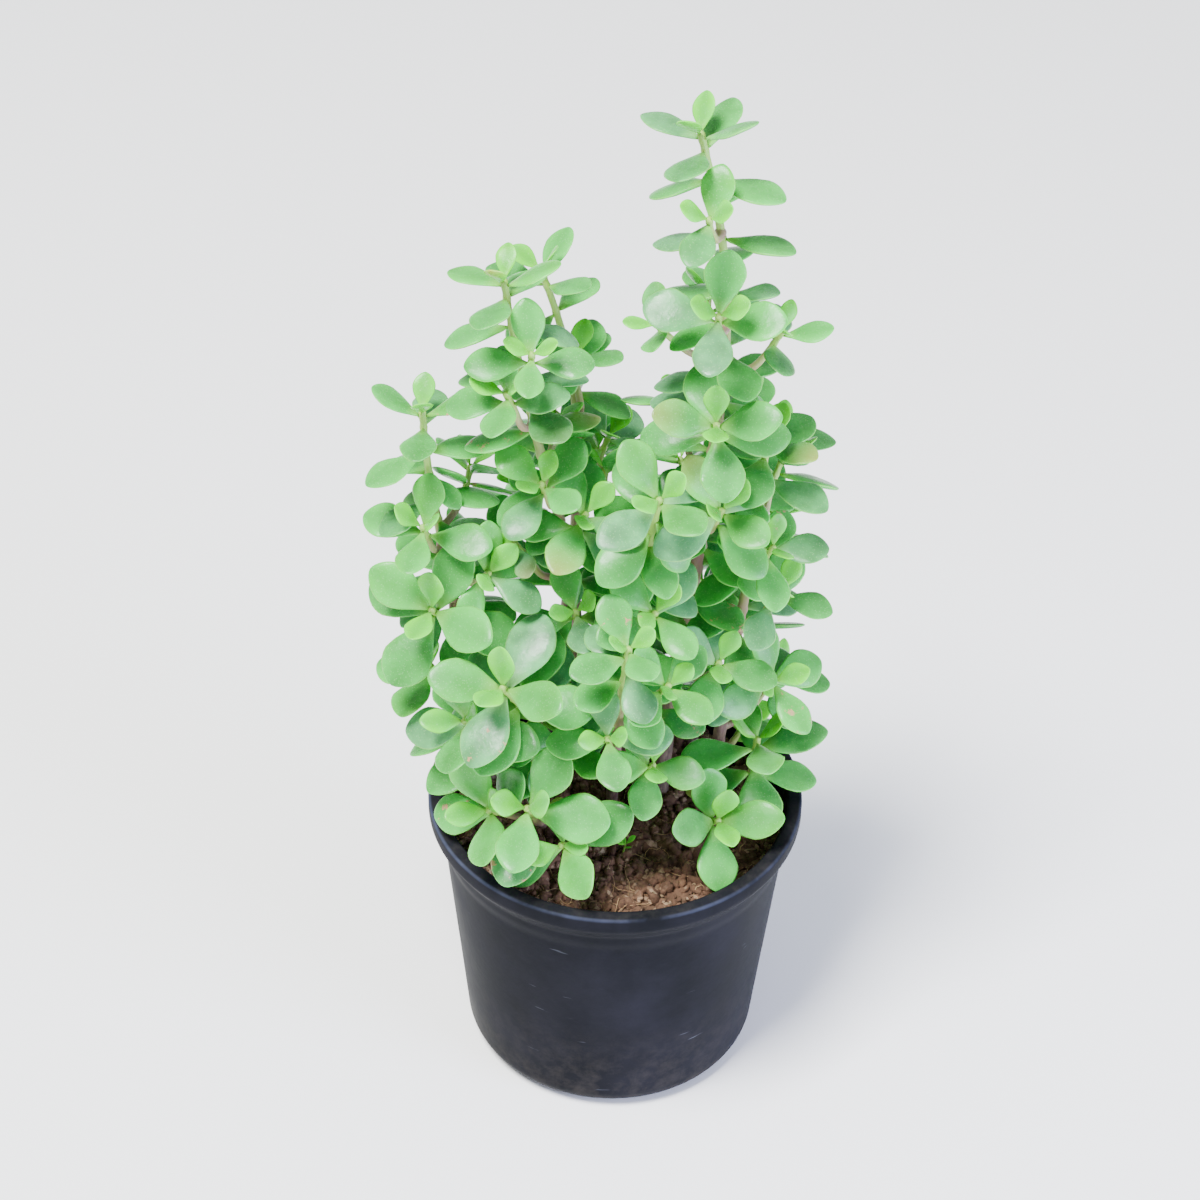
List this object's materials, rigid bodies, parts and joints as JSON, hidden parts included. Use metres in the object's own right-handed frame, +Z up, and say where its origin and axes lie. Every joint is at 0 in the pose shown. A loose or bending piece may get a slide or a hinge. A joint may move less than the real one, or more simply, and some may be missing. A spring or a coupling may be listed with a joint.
{
  "type": "potted jade plant",
  "caption": "Potted jade plant: branching succulent stems with thick oval leaves, rooted in potting mix in a tapered black nursery pot.",
  "frame": {"origin": "centre of the pot's flat foot, on the surface it stands on", "axes": "+Z up along the pot's axis, -Y towards the viewer, +X to the viewer's right"},
  "size_m": [0.1512, 0.1342, 0.3582],
  "materials": {
    "pot_plastic": "satin, near black with a navy tint, lightly scuffed",
    "potting_mix": "rough reddish brown coco peat crumbs and fibres",
    "stem_and_leaf": "living leaf, smooth and waxy, mid green, paler at the edge; brown to olive stems"
  },
  "bodies": {
    "root": {"back_right_shoot_1": "stem_and_leaf", "back_right_shoot_2": "stem_and_leaf", "back_right_shoot_3": "stem_and_leaf", "back_right_shoot_4": "stem_and_leaf", "back_right_stem": "stem_and_leaf", "back_shoot_1": "stem_and_leaf", "back_shoot_2": "stem_and_leaf", "back_shoot_3": "stem_and_leaf", "back_shoot_4": "stem_and_leaf", "back_shoot_5": "stem_and_leaf", "back_stem": "stem_and_leaf", "front_left_shoot_1": "stem_and_leaf", "front_left_shoot_2": "stem_and_leaf", "front_left_shoot_3": "stem_and_leaf", "front_left_stem": "stem_and_leaf", "front_shoot_1": "stem_and_leaf", "front_shoot_2": "stem_and_leaf", "front_shoot_3": "stem_and_leaf", "front_stem": "stem_and_leaf", "left_shoot_1": "stem_and_leaf", "left_shoot_2": "stem_and_leaf", "left_shoot_3": "stem_and_leaf", "left_shoot_4": "stem_and_leaf", "left_shoot_5": "stem_and_leaf", "left_shoot_6": "stem_and_leaf", "left_stem": "stem_and_leaf", "low_front_stem": "stem_and_leaf", "low_left_shoot_1": "stem_and_leaf", "low_left_stem": "stem_and_leaf", "low_middle_stem": "stem_and_leaf", "low_right_stem": "stem_and_leaf", "middle_shoot_1": "stem_and_leaf", "middle_shoot_2": "stem_and_leaf", "middle_shoot_3": "stem_and_leaf", "middle_stem": "stem_and_leaf", "pot": "pot_plastic", "potting_mix": "potting_mix", "right_shoot_1": "stem_and_leaf", "right_shoot_2": "stem_and_leaf", "right_shoot_3": "stem_and_leaf", "right_shoot_4": "stem_and_leaf", "right_shoot_5": "stem_and_leaf", "right_stem": "stem_and_leaf", "slender_shoot_1": "stem_and_leaf", "slender_shoot_2": "stem_and_leaf", "slender_shoot_3": "stem_and_leaf", "slender_shoot_4": "stem_and_leaf", "slender_shoot_5": "stem_and_leaf", "slender_shoot_6": "stem_and_leaf", "slender_stem": "stem_and_leaf", "tall_shoot_1": "stem_and_leaf", "tall_shoot_2": "stem_and_leaf", "tall_shoot_3": "stem_and_leaf", "tall_shoot_4": "stem_and_leaf", "tall_shoot_5": "stem_and_leaf", "tall_shoot_6": "stem_and_leaf", "tall_shoot_7": "stem_and_leaf", "tall_shoot_8": "stem_and_leaf", "tall_shoot_9": "stem_and_leaf", "tall_stem": "stem_and_leaf"}
  },
  "joints": []
}
